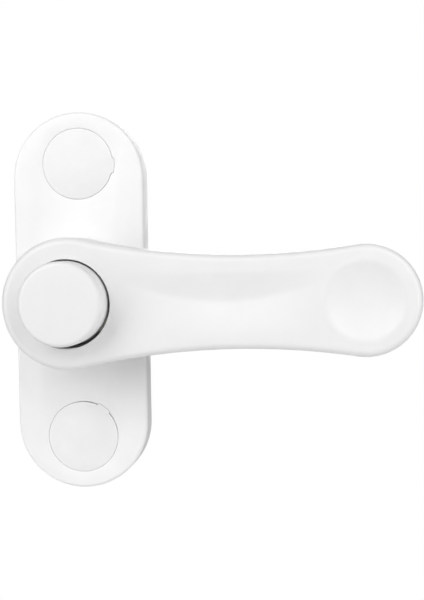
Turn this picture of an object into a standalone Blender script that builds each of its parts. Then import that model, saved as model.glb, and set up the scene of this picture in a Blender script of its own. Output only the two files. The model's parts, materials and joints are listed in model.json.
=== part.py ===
"""Swing arm latch with a push-button release, for a window sash or a light door.

A stadium-shaped base plate is screwed to the fixed frame. A locking arm turns on a
stud in its middle and reaches across the moving sash. The round button in the arm's
head pushes four sprung dogs out of the arm, which frees it to turn.

Each piece is drawn in plate coordinates: x across the plate, y up the plate and z
out of the wall. The empty named wall_frame turns them into world coordinates, where
+X runs along the arm, +Z up the plate and -Y out of the wall.
"""

import math

import bmesh
import bpy
from mathutils import Matrix, Vector

MM = 0.001

# Clearances
GAP = 0.3 * MM  # between pieces that seat on each other
RUNNING = 0.05 * MM  # radial clearance of the bush on the stud
SWEEP = 0.4 * MM  # between the arm's skirt and the plate
BUTTON_CLEARANCE = 0.4 * MM  # between the button and the well's wall
TURRET_CLEARANCE = 0.5 * MM  # between the turret and the arm's skirt
LEG_CLEARANCE = 0.1 * MM  # a pressed leg stops this far above the shear line
OVERCUT = 2.0 * MM  # how far a cutter runs past the face that it opens
BOND = 0.5 * MM  # how far two shapes of one moulding run into each other

# Base plate and turret
BASE_WIDTH = 25.0 * MM
BASE_LENGTH = 71.5 * MM
BASE_THICKNESS = 5.0 * MM
BASE_EDGE = 0.7 * MM
FIXING_CENTRES = 52.0 * MM
TURRET_WALL = 1.2 * MM
TURRET_HEIGHT = 1.9 * MM
POCKET_DEPTH = 0.6 * MM  # of the lock spring's floor, below the plate's face
POCKET_WALL = 0.8 * MM  # between the lock spring's floor and the stud's head
BOSS_WALL = 1.1 * MM
BOSS_HEIGHT = 1.9 * MM
BACKING_RIM = 2.5 * MM
BACKING_THICKNESS = 1.2 * MM

# Fixing screws and their caps
SCREW_HEAD_RADIUS = 4.0 * MM
SCREW_RADIUS = 2.0 * MM
SCREW_LENGTH = 20.0 * MM
SCREW_HEAD_RIM = 0.2 * MM
HEAD_ROOM = 0.7 * MM  # between the screw's head and its cap
THREAD_PITCH = 1.4 * MM
THREAD_DEPTH = 0.45 * MM
RECESS_DEPTH = 1.6 * MM
RECESS_ARM = 2.3 * MM
RECESS_WIDTH = 0.9 * MM
RECESS_TAPER = 0.45  # length of the recess's foot over that of its mouth
CAP_RADIUS = 6.7 * MM
CAP_THICKNESS = 1.1 * MM
CAP_DEPTH = 1.8 * MM
CAP_WALL = 0.8 * MM
TAB_WIDTH = 2.8 * MM
TAB_REACH = 0.4 * MM
UPPER_TAB_ANGLE = math.radians(-4.0)
LOWER_TAB_ANGLE = math.radians(53.0)

# Arm
HEAD_WALL = 4.0 * MM
TIP_RADIUS = 10.0 * MM
TIP_REACH = 53.6 * MM
WAIST_HALF_WIDTH = 8.4 * MM
BEAM_THICKNESS = 8.0 * MM
ARM_EDGE = 1.8 * MM
ARM_WALL = 1.8 * MM
ARM_ROOF = 2.8 * MM
RIB_THICKNESS = 1.4 * MM
CORE_COUNT = 4
DIMPLE_RADIUS = 7.2 * MM
DIMPLE_DEPTH = 1.3 * MM
WELL_LIP = 1.7 * MM  # of the well's wall above its snap slots
WEB_THICKNESS = 2.2 * MM

# Lock
LOCK_PLATE_THICKNESS = 1.0 * MM
LOCK_PLATE_MARGIN = 0.4 * MM  # of the plate's flats beyond its holes
LOCK_COUNT = 4
LOCK_HOLE_RADIUS = 1.2 * MM
LOCK_ANGLE = math.radians(45.0)
DOG_ENGAGEMENT = 1.6 * MM
SPRING_SHEET = 0.4 * MM
SPRING_SLIT = 0.2 * MM  # between the lock spring's ring and its fingers
FINGER_WIDTH = 1.2 * MM
FINGER_ROOM = 1.4 * MM
FINGER_ARC = math.radians(62.0)

# Stud and what turns or sits on it
STUD_RADIUS = 2.5 * MM
STUD_THREAD_RADIUS = 2.0 * MM
STUD_HEAD_REACH = 2.0 * MM
STUD_FLAT_REACH = 1.3 * MM
STUD_END = 0.4 * MM
BEARING_WASHER_THICKNESS = 0.6 * MM
BEARING_WASHER_WIDTH = 1.6 * MM
BUSH_WALL = 0.95 * MM
BUSH_FLANGE_REACH = 0.7 * MM
BUSH_FLANGE_THICKNESS = 0.7 * MM
WAVE_SHEET = 0.25 * MM
WAVE_RISE = 0.2 * MM
RETAINING_WASHER_THICKNESS = 0.7 * MM
NUT_ACROSS_FLATS = 7.0 * MM
NUT_THICKNESS = 2.0 * MM

# Button
BUTTON_PROUD = 5.1 * MM
BUTTON_TRAVEL = 2.5 * MM
BUTTON_ROOF = 1.6 * MM
BUTTON_WALL = 1.25 * MM
BUTTON_EDGE = 0.6 * MM
PLUNGER_FLANGE = 1.4 * MM
PLUNGER_WALL = 0.75 * MM
SPIGOT_HEIGHT = 3.2 * MM
LEG_RADIUS = 0.85 * MM
LEG_INSET = 0.25 * MM  # of a leg from the flange's inner and outer edges
LUG_COUNT = 3
LUG_WIDTH = 3.0 * MM
LUG_REACH = 0.7 * MM
LUG_INSET = 0.1 * MM  # the lug is this much thinner than the flange, above and below
COIL_WIRE = 0.5 * MM
COIL_TURNS = 6

# Pressure pad
PAD_RADIUS = 5.6 * MM
PAD_THICKNESS = 3.1 * MM
PAD_RECESS = 1.3 * MM
PAD_CROWN = 0.5 * MM

# Radii, each following from the one inside it
STUD_HOLE_RADIUS = STUD_RADIUS + GAP
STUD_HEAD_RADIUS = STUD_RADIUS + STUD_HEAD_REACH
STUD_HEAD_FLATS = STUD_RADIUS + STUD_FLAT_REACH
BOSS_RADIUS = (STUD_HOLE_RADIUS + BOSS_WALL) / math.cos(math.pi / 6)
BUSH_BORE_RADIUS = STUD_RADIUS + RUNNING
BUSH_RADIUS = BUSH_BORE_RADIUS + BUSH_WALL
BUSH_FLANGE_RADIUS = BUSH_RADIUS + BUSH_FLANGE_REACH
WEB_BORE_RADIUS = BUSH_RADIUS + GAP
COIL_RADIUS = BUSH_FLANGE_RADIUS + GAP + COIL_WIRE / 2
PLUNGER_BORE_RADIUS = COIL_RADIUS + COIL_WIRE / 2 + GAP
SPIGOT_RADIUS = PLUNGER_BORE_RADIUS + PLUNGER_WALL
BUTTON_RADIUS = SPIGOT_RADIUS + GAP + BUTTON_WALL
WELL_RADIUS = BUTTON_RADIUS + BUTTON_CLEARANCE
LUG_RADIUS = WELL_RADIUS + LUG_REACH
LOCK_PITCH_RADIUS = PLUNGER_BORE_RADIUS + LEG_INSET + LEG_RADIUS
FLANGE_RADIUS = LOCK_PITCH_RADIUS + LEG_RADIUS + LEG_INSET
POCKET_RADIUS = LOCK_PITCH_RADIUS + FINGER_WIDTH / 2 + FINGER_ROOM
TURRET_RADIUS = POCKET_RADIUS + TURRET_WALL
SKIRT_BORE_RADIUS = TURRET_RADIUS + TURRET_CLEARANCE
LOCK_PLATE_FLATS = LOCK_PITCH_RADIUS + LOCK_HOLE_RADIUS + LOCK_PLATE_MARGIN
LOCK_PLATE_RADIUS = TURRET_RADIUS - GAP
HEAD_RADIUS = WELL_RADIUS + HEAD_WALL
SCREW_BORE_RADIUS = SCREW_RADIUS + 2 * GAP

# Heights above the wall, each following from the one below it
BACKING_POCKET = BACKING_THICKNESS + GAP
CAP_BOTTOM = BASE_THICKNESS - CAP_DEPTH
CAP_CEILING = BASE_THICKNESS - CAP_THICKNESS
SCREW_HEAD_TOP = CAP_CEILING - HEAD_ROOM
TURRET_TOP = BASE_THICKNESS + TURRET_HEIGHT
POCKET_FLOOR = BASE_THICKNESS - POCKET_DEPTH
STUD_HEAD_TOP = POCKET_FLOOR - POCKET_WALL - GAP
BOSS_TOP = POCKET_FLOOR + BOSS_HEIGHT
SKIRT_BOTTOM = BASE_THICKNESS + SWEEP
LOCK_PLATE_BOTTOM = BOSS_TOP + GAP + BEARING_WASHER_THICKNESS + GAP
LOCK_PLATE_TOP = LOCK_PLATE_BOTTOM + LOCK_PLATE_THICKNESS
WEB_BOTTOM = LOCK_PLATE_TOP + GAP
WEB_TOP = WEB_BOTTOM + WEB_THICKNESS
BUSH_TOP = WEB_TOP + GAP + BUSH_FLANGE_THICKNESS
WAVE_MIDDLE = BUSH_TOP + GAP + WAVE_SHEET / 2 + WAVE_RISE
SHOULDER_TOP = WAVE_MIDDLE + WAVE_RISE + WAVE_SHEET / 2
RETAINING_WASHER_BOTTOM = SHOULDER_TOP + GAP
NUT_BOTTOM = RETAINING_WASHER_BOTTOM + RETAINING_WASHER_THICKNESS + GAP
NUT_TOP = NUT_BOTTOM + NUT_THICKNESS
STUD_TOP = NUT_TOP + STUD_END
LEG_END = LOCK_PLATE_BOTTOM + BUTTON_TRAVEL + LEG_CLEARANCE
PLUNGER_BOTTOM = WEB_TOP + BUTTON_TRAVEL + GAP
PLUNGER_SHOULDER = PLUNGER_BOTTOM + PLUNGER_FLANGE
ARM_TOP = PLUNGER_SHOULDER + GAP + WELL_LIP
BEAM_BOTTOM = ARM_TOP - BEAM_THICKNESS
BUTTON_TOP = ARM_TOP + BUTTON_PROUD
BUTTON_CEILING = BUTTON_TOP - BUTTON_ROOF

# Facets on a full circle
FINE = 64
MEDIUM = 40
SMALL = 24
TINY = 16
EDGE_STEPS = 3

WHITE = ("white_moulding", (0.86, 0.86, 0.85), 0.38, 0.0)
ACETAL = ("natural_acetal", (0.80, 0.79, 0.74), 0.42, 0.0)
ZINC = ("zinc_plated_steel", (0.62, 0.63, 0.64), 0.34, 1.0)
SPRING = ("spring_steel", (0.42, 0.42, 0.43), 0.30, 1.0)
BRASS = ("turned_brass", (0.74, 0.58, 0.30), 0.32, 1.0)
PAD = ("soft_pad", (0.55, 0.55, 0.54), 0.80, 0.0)


# Scene set-up


def clear_scene():
    for old in list(bpy.data.objects):
        bpy.data.objects.remove(old, do_unlink=True)


def add_empty(name, parent=None):
    empty = bpy.data.objects.new(name, None)
    empty.empty_display_size = 5 * MM
    empty.parent = parent
    bpy.context.scene.collection.objects.link(empty)
    return empty


def material(finish):
    name, colour, roughness, metallic = finish
    made = bpy.data.materials.get(name) or bpy.data.materials.new(name)
    made.use_nodes = True
    made.diffuse_color = (*colour, 1.0)
    shader = made.node_tree.nodes["Principled BSDF"]
    shader.inputs["Base Color"].default_value = (*colour, 1.0)
    shader.inputs["Roughness"].default_value = roughness
    shader.inputs["Metallic"].default_value = metallic
    return made


def add_object(name, data, parent, at=(0, 0, 0)):
    obj = bpy.data.objects.new(name, data)
    obj.location = at
    obj.parent = parent
    bpy.context.scene.collection.objects.link(obj)
    return obj


def add_piece(name, shape, finish, parent, at=(0, 0, 0)):
    """A visible piece: its mesh from shape, shaded smooth where its faces meet gently."""
    mesh = to_mesh(name, shape)
    mesh.materials.append(material(finish))
    mesh.shade_smooth()
    mesh.set_sharp_from_angle(angle=math.radians(32))
    return add_object(name, mesh, parent, at)


def to_mesh(name, shape):
    bmesh.ops.recalc_face_normals(shape, faces=shape.faces)
    mesh = bpy.data.meshes.new(name)
    shape.to_mesh(mesh)
    shape.free()
    return mesh


def add_boolean(piece, shape, kind):
    """Cut shape from piece, or join it on, with a hidden operand at the piece's place."""
    name = f"{piece.name}_{kind.lower()}_{len(piece.modifiers)}"
    operand = add_object(name, to_mesh(name, shape), piece.parent, piece.location)
    operand.hide_render = True
    operand.display_type = "WIRE"
    boolean = piece.modifiers.new(name, "BOOLEAN")
    boolean.operation = kind
    boolean.solver = "EXACT"
    boolean.object = operand


def cut(piece, shape):
    add_boolean(piece, shape, "DIFFERENCE")


def join(piece, shape):
    add_boolean(piece, shape, "UNION")


# Shapes


def add_ring(shape, outline, height):
    return [shape.verts.new((x, y, height)) for x, y in outline]


def add_walls(shape, lower, upper):
    """Faces between two rings of vertices, all the way round."""
    for i in range(len(lower)):
        j = (i + 1) % len(lower)
        shape.faces.new((lower[i], lower[j], upper[j], upper[i]))


def add_top(shape, ring, outline, high, edge, steps):
    """Carry a ring up to high, over an edge rounded to this radius, and close it there."""
    for i in range(steps + 1 if edge else 1):
        turn = math.pi / 2 * i / steps
        level = high - edge * (1 - math.sin(turn))
        following = add_ring(shape, inset(outline, edge * (1 - math.cos(turn))), level)
        add_walls(shape, ring, following)
        ring = following
    shape.faces.new(ring)


def prism(outline, low, high, edge=0.0, steps=EDGE_STEPS):
    """Outline points (x, y) run straight up from low to high, with a rounded top edge."""
    shape = bmesh.new()
    foot = add_ring(shape, outline, low)
    shape.faces.new(list(reversed(foot)))
    add_top(shape, foot, outline, high, edge, steps)
    return shape


def inset(outline, distance):
    """The outline moved inwards; its points run anticlockwise."""
    moved = []
    for i, (x, y) in enumerate(outline):
        before = Vector(outline[i - 1])
        after = Vector(outline[(i + 1) % len(outline)])
        along = (after - before).normalized()
        moved.append((x - along.y * distance, y + along.x * distance))
    return moved


def turned(profile, steps):
    """Profile points (radius, height), in order round a closed loop, turned about z."""
    shape = bmesh.new()
    points = [shape.verts.new((radius, 0, height)) for radius, height in profile]
    loop = [
        shape.edges.new((point, points[(i + 1) % len(points)]))
        for i, point in enumerate(points)
    ]
    bmesh.ops.spin(
        shape,
        geom=points + loop,
        cent=(0, 0, 0),
        axis=(0, 0, 1),
        angle=math.tau,
        steps=steps,
        use_merge=True,
    )
    bmesh.ops.remove_doubles(shape, verts=shape.verts, dist=0.001 * MM)
    on_axis = [edge for edge in shape.edges if not edge.link_faces]
    bmesh.ops.delete(shape, geom=on_axis, context="EDGES")
    return shape


def disc(radius, low, high, steps=MEDIUM):
    return prism(arc((0, 0), radius, 0, math.tau, steps), low, high)


def washer(bore, radius, low, high, steps=MEDIUM):
    return turned([(bore, low), (radius, low), (radius, high), (bore, high)], steps)


def at_each(shape, places):
    """Copies of shape, one at each (x, y, angle), and the first shape gone."""
    template = bpy.data.meshes.new("template")
    bmesh.ops.recalc_face_normals(shape, faces=shape.faces)
    shape.to_mesh(template)
    shape.free()
    group = bmesh.new()
    for x, y, angle in places:
        before = len(group.verts)
        group.from_mesh(template)
        group.verts.ensure_lookup_table()
        move = Matrix.Translation((x, y, 0)) @ Matrix.Rotation(angle, 4, "Z")
        bmesh.ops.transform(group, matrix=move, verts=group.verts[before:])
    bpy.data.meshes.remove(template)
    return group


# Outlines


def arc(centre, radius, start, end, steps):
    """Points along an arc, leaving out its last one, so that arcs join end to end."""
    return [
        (
            centre[0] + radius * math.cos(start + (end - start) * i / steps),
            centre[1] + radius * math.sin(start + (end - start) * i / steps),
        )
        for i in range(steps)
    ]


def stadium(width, length, steps=FINE):
    half = length / 2 - width / 2
    return arc((0, half), width / 2, 0, math.pi, steps // 2) + arc(
        (0, -half), width / 2, math.pi, math.tau, steps // 2
    )


def flatted_disc(radius, flat, steps=MEDIUM):
    """A circle with a flat across it on each side, at x = flat and x = -flat."""
    corner = math.acos(flat / radius)
    return arc((0, 0), radius, corner, math.pi - corner, steps // 2) + [
        (-flat, radius * math.sin(corner))
    ] + arc((0, 0), radius, math.pi + corner, math.tau - corner, steps // 2) + [
        (flat, -radius * math.sin(corner))
    ]


def hexagon(radius):
    return arc((0, 0), radius, 0, math.tau, 6)


def box_outline(left, right, low, high):
    return [(left, low), (right, low), (right, high), (left, high)]


def side_curve():
    """Centre (x, y) and radius of the hollow curve that joins head, waist and tip.

    The curve touches the head's circle and the tip's circle from outside, and its
    nearest point to the arm's centre line is the waist's half width.
    """
    head, tip, waist = HEAD_RADIUS, TIP_RADIUS, WAIST_HALF_WIDTH
    share = (tip - waist) / (head - waist)
    a = 1 - share
    b = -2 * TIP_REACH
    c = TIP_REACH**2 + share * (head**2 - waist**2) - (tip**2 - waist**2)
    x = (-b - math.sqrt(b * b - 4 * a * c)) / (2 * a) if a else -c / b
    radius = (x * x - head**2 + waist**2) / (2 * (head - waist))
    return x, waist + radius, radius


def half_width(x):
    """Half the arm's width at x, between the head and the tip."""
    centre_x, centre_y, radius = side_curve()
    return centre_y - math.sqrt(radius**2 - (x - centre_x) ** 2)


def arm_angles():
    """Where the side curve leaves the head's circle and meets the tip's circle."""
    x, y, _ = side_curve()
    return math.atan2(y, x), math.atan2(y, x - TIP_REACH)


# Pieces that stay on the wall


def make_base_plate(parent):
    shape = prism(stadium(BASE_WIDTH, BASE_LENGTH), 0, BASE_THICKNESS, BASE_EDGE)
    piece = add_piece("base_plate", shape, WHITE, parent)
    backing = stadium(BASE_WIDTH - 2 * BACKING_RIM, BASE_LENGTH - 2 * BACKING_RIM)
    cut(piece, prism(backing, -OVERCUT, BACKING_POCKET))
    join(piece, disc(TURRET_RADIUS, POCKET_FLOOR - BOND, TURRET_TOP, FINE))
    cut(piece, lock_pocket())
    cut(piece, disc(POCKET_RADIUS - BOND, BOSS_TOP, TURRET_TOP + 2 * OVERCUT))
    head = flatted_disc(STUD_HEAD_RADIUS + GAP, STUD_HEAD_FLATS + GAP)
    cut(piece, prism(head, BACKING_POCKET - OVERCUT, STUD_HEAD_TOP + GAP))
    cut(piece, disc(STUD_HOLE_RADIUS, STUD_HEAD_TOP - OVERCUT / 2, BOSS_TOP + OVERCUT, SMALL))
    cut(piece, at_each(screw_hole(), fixing_places()))
    for side, angle in ((1, UPPER_TAB_ANGLE), (-1, LOWER_TAB_ANGLE)):
        recess = prism(cap_outline(GAP, angle), CAP_BOTTOM - GAP, BASE_THICKNESS + OVERCUT)
        cut(piece, at_each(recess, [(0, side * FIXING_CENTRES / 2, 0)]))
    return piece


def lock_pocket():
    """The ring-shaped well round the hexagonal boss, where the lock spring lies."""
    outer = arc((0, 0), POCKET_RADIUS, 0, math.tau, 2 * SMALL)
    inner = on_hexagon(BOSS_RADIUS, 2 * SMALL)
    return ring_prism(inner, outer, POCKET_FLOOR, TURRET_TOP + OVERCUT)


def on_hexagon(radius, steps):
    """Points at equal angles on a hexagon whose corners are at this radius."""
    points = []
    for i in range(steps):
        angle = math.tau * i / steps
        from_flat = (angle + math.pi / 6) % (math.pi / 3) - math.pi / 6
        across = math.cos(math.pi / 6) / math.cos(math.pi / 6 - abs(from_flat))
        points.append((radius * across * math.cos(angle), radius * across * math.sin(angle)))
    return points


def ring_prism(inner, outer, low, high):
    """The space between two outlines that have the same number of points."""
    shape = bmesh.new()
    section = ((inner, low), (outer, low), (outer, high), (inner, high))
    rings = [add_ring(shape, outline, height) for outline, height in section]
    for ring, following in zip(rings, rings[1:] + rings[:1]):
        add_walls(shape, ring, following)
    return shape


def fixing_places():
    return [(0, side * FIXING_CENTRES / 2, 0) for side in (1, -1)]


def screw_hole():
    """Countersunk seat and clearance hole of one fixing screw."""
    bore = SCREW_BORE_RADIUS
    seat = CAP_BOTTOM - GAP + OVERCUT
    seat_radius = SCREW_HEAD_RADIUS + GAP + seat - (SCREW_HEAD_TOP - SCREW_HEAD_RIM)
    neck = seat - (seat_radius - bore)
    return turned(
        [(0, -OVERCUT), (bore, -OVERCUT), (bore, neck), (seat_radius, seat), (0, seat)],
        MEDIUM,
    )


def cap_outline(margin, angle):
    """A cap's circle with its key tab, grown all round by the margin."""
    radius = CAP_RADIUS + margin
    reach = radius + TAB_REACH
    half = math.asin((TAB_WIDTH / 2 + margin) / radius)
    side = [(reach * math.cos(a), reach * math.sin(a)) for a in (angle - half, angle + half)]
    return [side[0]] + arc((0, 0), reach, angle - half, angle + half, 4)[1:] + [side[1]] + arc(
        (0, 0), radius, angle + half, angle + math.tau - half, MEDIUM + 1
    ) + [(radius * math.cos(angle - half), radius * math.sin(angle - half))]


def make_backing_plate(parent):
    inset = 2 * (BACKING_RIM + GAP)
    shape = prism(stadium(BASE_WIDTH - inset, BASE_LENGTH - inset, MEDIUM), 0, BACKING_THICKNESS)
    piece = add_piece("backing_plate", shape, ZINC, parent)
    cut(piece, at_each(screw_hole(), fixing_places()))
    return piece


def make_pivot_stud(parent):
    low = BACKING_POCKET
    end = STUD_THREAD_RADIUS - BOND
    profile = [
        (0, low),
        (STUD_HEAD_RADIUS, low),
        (STUD_HEAD_RADIUS, STUD_HEAD_TOP),
        (STUD_RADIUS, STUD_HEAD_TOP),
        (STUD_RADIUS, SHOULDER_TOP),
        (STUD_THREAD_RADIUS, SHOULDER_TOP),
        (STUD_THREAD_RADIUS, STUD_TOP - BOND),
        (end, STUD_TOP),
        (0, STUD_TOP),
    ]
    piece = add_piece("pivot_stud", turned(profile, 32), ZINC, parent)
    flat = prism(
        box_outline(STUD_HEAD_FLATS, STUD_HEAD_RADIUS + OVERCUT, -STUD_HEAD_RADIUS, STUD_HEAD_RADIUS),
        low - OVERCUT,
        STUD_HEAD_TOP + GAP / 2,
    )
    cut(piece, at_each(flat, [(0, 0, 0), (0, 0, math.pi)]))
    return piece


def screw_profile():
    """Half section of a countersunk screw: head, plain neck, ringed thread and point."""
    rim = SCREW_HEAD_TOP - SCREW_HEAD_RIM
    neck = rim - (SCREW_HEAD_RADIUS - SCREW_RADIUS)
    point = SCREW_HEAD_TOP - SCREW_LENGTH
    root = SCREW_RADIUS - THREAD_DEPTH
    rings = int((neck - point - 2 * SCREW_RADIUS) / THREAD_PITCH)
    profile = [(0, SCREW_HEAD_TOP), (SCREW_HEAD_RADIUS, SCREW_HEAD_TOP), (SCREW_HEAD_RADIUS, rim)]
    profile.append((SCREW_RADIUS, neck))
    for i in range(rings):
        top = neck - THREAD_PITCH * (i + 0.5)
        profile.append((SCREW_RADIUS, top))
        profile.append((root, top - THREAD_PITCH / 4))
        profile.append((root, top - THREAD_PITCH / 2))
    profile.append((SCREW_RADIUS, profile[-1][1] - THREAD_PITCH / 4))
    profile.append((0, point))
    return profile


def make_fixing_screw(name, side, parent):
    at = (0, side * FIXING_CENTRES / 2, 0)
    piece = add_piece(name, turned(screw_profile(), TINY), ZINC, parent, at)
    slot = box_outline(-RECESS_ARM, RECESS_ARM, -RECESS_WIDTH / 2, RECESS_WIDTH / 2)
    for angle in (0, math.pi / 2):
        bar = prism(slot, SCREW_HEAD_TOP - RECESS_DEPTH, SCREW_HEAD_TOP + OVERCUT)
        for vert in bar.verts:
            if vert.co.z < SCREW_HEAD_TOP:
                vert.co.x *= RECESS_TAPER
        cut(piece, at_each(bar, [(0, 0, math.pi / 4 + angle)]))
    return piece


def make_screw_cap(name, side, angle, parent):
    at = (0, side * FIXING_CENTRES / 2, 0)
    shape = prism(cap_outline(0, angle), CAP_BOTTOM, BASE_THICKNESS)
    piece = add_piece(name, shape, WHITE, parent, at)
    cut(piece, disc(CAP_RADIUS - CAP_WALL, CAP_BOTTOM - OVERCUT, CAP_CEILING))
    return piece


def make_lock_spring(parent):
    """A flat ring keyed on the boss, with rising fingers that end in upright dogs."""
    steps = 72
    step = math.tau / steps
    level = POCKET_FLOOR + GAP + SPRING_SHEET / 2
    finger_top = TURRET_TOP + GAP
    dog_top = LOCK_PLATE_BOTTOM + DOG_ENGAGEMENT
    inner = LOCK_PITCH_RADIUS - FINGER_WIDTH / 2
    outer = LOCK_PITCH_RADIUS + FINGER_WIDTH / 2
    rim = inner - SPRING_SLIT
    bore = on_hexagon(BOSS_RADIUS + GAP + SPRING_SHEET / 2, steps)

    def spot(radius, angle, height):
        return shape.verts.new((radius * math.cos(angle), radius * math.sin(angle), height))

    shape = bmesh.new()
    bore_verts = [shape.verts.new((x, y, level)) for x, y in bore]
    rim_verts = [spot(rim, i * step, level) for i in range(steps)]
    for i in range(steps):
        j = (i + 1) % steps
        shape.faces.new((bore_verts[i], bore_verts[j], rim_verts[j], rim_verts[i]))
    finger_steps = 12
    root_steps = 3
    for k in range(LOCK_COUNT):
        tip_angle = LOCK_ANGLE + math.tau * k / LOCK_COUNT
        first = round((tip_angle - FINGER_ARC) / step) - root_steps
        for i in range(first, first + root_steps):
            a, b = rim_verts[i % steps], rim_verts[(i + 1) % steps]
            if i == first:
                low_out = spot(outer, i * step, level)
            high_out = spot(outer, (i + 1) * step, level)
            if i < first + root_steps - 1:
                shape.faces.new((a, b, high_out, low_out))
            else:
                edge_in = spot(inner, (i + 1) * step, level)
                shape.faces.new((a, b, edge_in, high_out, low_out))
            low_out = high_out
        start = (first + root_steps) * step
        before = (edge_in, high_out)
        for n in range(1, finger_steps + 1):
            share = n / finger_steps
            angle = start + (tip_angle - start) * share
            height = level + (finger_top - level) * (3 * share**2 - 2 * share**3)
            after = (spot(inner, angle, height), spot(outer, angle, height))
            shape.faces.new((before[0], after[0], after[1], before[1]))
            before = after
        upright = [
            spot(vert.co.xy.length, tip_angle, dog_top - SPRING_SHEET / 2) for vert in before
        ]
        shape.faces.new((before[0], upright[0], upright[1], before[1]))
    piece = add_piece("lock_spring", shape, SPRING, parent)
    sheet = piece.modifiers.new("sheet", "SOLIDIFY")
    sheet.thickness = SPRING_SHEET
    sheet.offset = 0
    return piece


def make_washers_and_nut(parent):
    low = BOSS_TOP + GAP
    edge = STUD_HOLE_RADIUS + BEARING_WASHER_WIDTH
    shape = washer(STUD_HOLE_RADIUS, edge, low, low + BEARING_WASHER_THICKNESS)
    add_piece("bearing_washer", shape, ACETAL, parent)
    add_piece("wave_washer", wave_ring(), SPRING, parent)
    low = RETAINING_WASHER_BOTTOM
    top = low + RETAINING_WASHER_THICKNESS
    shape = washer(STUD_THREAD_RADIUS + GAP, BUSH_FLANGE_RADIUS, low, top)
    add_piece("retaining_washer", shape, ZINC, parent)
    corner = NUT_ACROSS_FLATS / 2 / math.cos(math.pi / 6)
    nut = prism(hexagon(corner), NUT_BOTTOM, NUT_TOP, GAP, 1)
    piece = add_piece("pivot_nut", nut, ZINC, parent)
    cut(piece, disc(STUD_THREAD_RADIUS + GAP, NUT_BOTTOM - OVERCUT, NUT_TOP + OVERCUT, SMALL))


def wave_ring():
    """A thin ring that rises and falls three times round."""
    waves = 3
    shape = washer(STUD_HOLE_RADIUS, BUSH_FLANGE_RADIUS, 0, WAVE_SHEET, 48)
    for vert in shape.verts:
        angle = math.atan2(vert.co.y, vert.co.x)
        vert.co.z += WAVE_MIDDLE - WAVE_SHEET / 2 + WAVE_RISE * math.sin(waves * angle)
    return shape


# Pieces that turn with the arm


def arm_block():
    """The solid arm: the head's full-depth disc and the thinner beam in one closed shape."""
    centre_x, centre_y, radius = side_curve()
    leave, meet = arm_angles()
    near = list(arc((0, 0), HEAD_RADIUS, leave, math.tau - leave, 44))
    eye = arc((0, 0), HEAD_RADIUS, -leave, leave, 20)
    start = math.atan2(-centre_y, -centre_x)
    end = math.atan2(-centre_y, TIP_REACH - centre_x)
    lower = [(x, -y) for x, y in arc((centre_x, centre_y), radius, start, end, 14)]
    tip = arc((TIP_REACH, 0), TIP_RADIUS, -meet, meet, 30)
    upper = arc((centre_x, centre_y), radius, end, start, 14)
    far = [point for i, point in enumerate(lower + tip + upper) if i]

    shape = bmesh.new()
    foot = add_ring(shape, near + eye, SKIRT_BOTTOM)
    collar = add_ring(shape, near + eye, BEAM_BOTTOM)
    beam = add_ring(shape, far, BEAM_BOTTOM)
    add_walls(shape, foot, collar)
    shape.faces.new(list(reversed(foot)))
    shape.faces.new(beam + collar[:1] + list(reversed(collar[len(near) :])))
    outer = collar[: len(near) + 1] + beam
    add_top(shape, outer, near + eye[:1] + far, ARM_TOP, ARM_EDGE, EDGE_STEPS)
    return shape


def make_arm(parent):
    piece = add_piece("arm", arm_block(), WHITE, parent)
    cut(piece, disc(WELL_RADIUS, WEB_TOP, ARM_TOP + OVERCUT, FINE))
    cut(piece, disc(SKIRT_BORE_RADIUS, SKIRT_BOTTOM - OVERCUT, LOCK_PLATE_BOTTOM - GAP, FINE))
    seat = flatted_disc(LOCK_PLATE_RADIUS + GAP, LOCK_PLATE_FLATS + GAP)
    cut(piece, prism(seat, LOCK_PLATE_BOTTOM - 2 * GAP, WEB_BOTTOM))
    cut(piece, disc(WEB_BORE_RADIUS, WEB_BOTTOM - OVERCUT, WEB_TOP + OVERCUT, 32))
    hole = disc(LOCK_HOLE_RADIUS, WEB_BOTTOM - OVERCUT, WEB_TOP + OVERCUT, TINY)
    cut(piece, at_each(hole, lock_places(LOCK_PITCH_RADIUS)))
    cut(piece, snap_slots())
    cut(piece, beam_cores())
    recess = disc(PAD_RADIUS + GAP, BEAM_BOTTOM - OVERCUT, BEAM_BOTTOM + PAD_RECESS, 32)
    cut(piece, at_each(recess, [(TIP_REACH, 0, 0)]))
    cut(piece, dimple())
    return piece


def lock_places(radius):
    turns = [LOCK_ANGLE + math.tau * k / LOCK_COUNT for k in range(LOCK_COUNT)]
    return [(radius * math.cos(turn), radius * math.sin(turn), turn) for turn in turns]


def lug_turns():
    return [(0, 0, math.pi / 2 + math.tau * k / LUG_COUNT) for k in range(LUG_COUNT)]


def snap_slots():
    """Blind slots in the well's wall, closed on top, where the plunger's lugs ride."""
    half = LUG_WIDTH / 2 + GAP
    slot = box_outline(WELL_RADIUS - BOND, LUG_RADIUS + GAP, -half, half)
    shape = prism(slot, WEB_TOP + LUG_INSET, PLUNGER_SHOULDER + GAP)
    return at_each(shape, lug_turns())


def beam_cores():
    """Pockets in the beam's underside, which leave even walls and cross ribs."""
    start = HEAD_RADIUS + ARM_WALL
    end = TIP_REACH - PAD_RADIUS - 2 * ARM_WALL
    length = (end - start - RIB_THICKNESS * (CORE_COUNT - 1)) / CORE_COUNT
    steps = 4
    group = bmesh.new()
    for k in range(CORE_COUNT):
        left = start + k * (length + RIB_THICKNESS)
        stations = [left + length * i / steps for i in range(steps + 1)]
        near = [(x, -(half_width(x) - ARM_WALL)) for x in stations]
        far = [(x, half_width(x) - ARM_WALL) for x in reversed(stations)]
        core = prism(near + far, BEAM_BOTTOM - OVERCUT, ARM_TOP - ARM_ROOF)
        mesh = to_mesh("core", core)
        group.from_mesh(mesh)
        bpy.data.meshes.remove(mesh)
    return group


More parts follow.
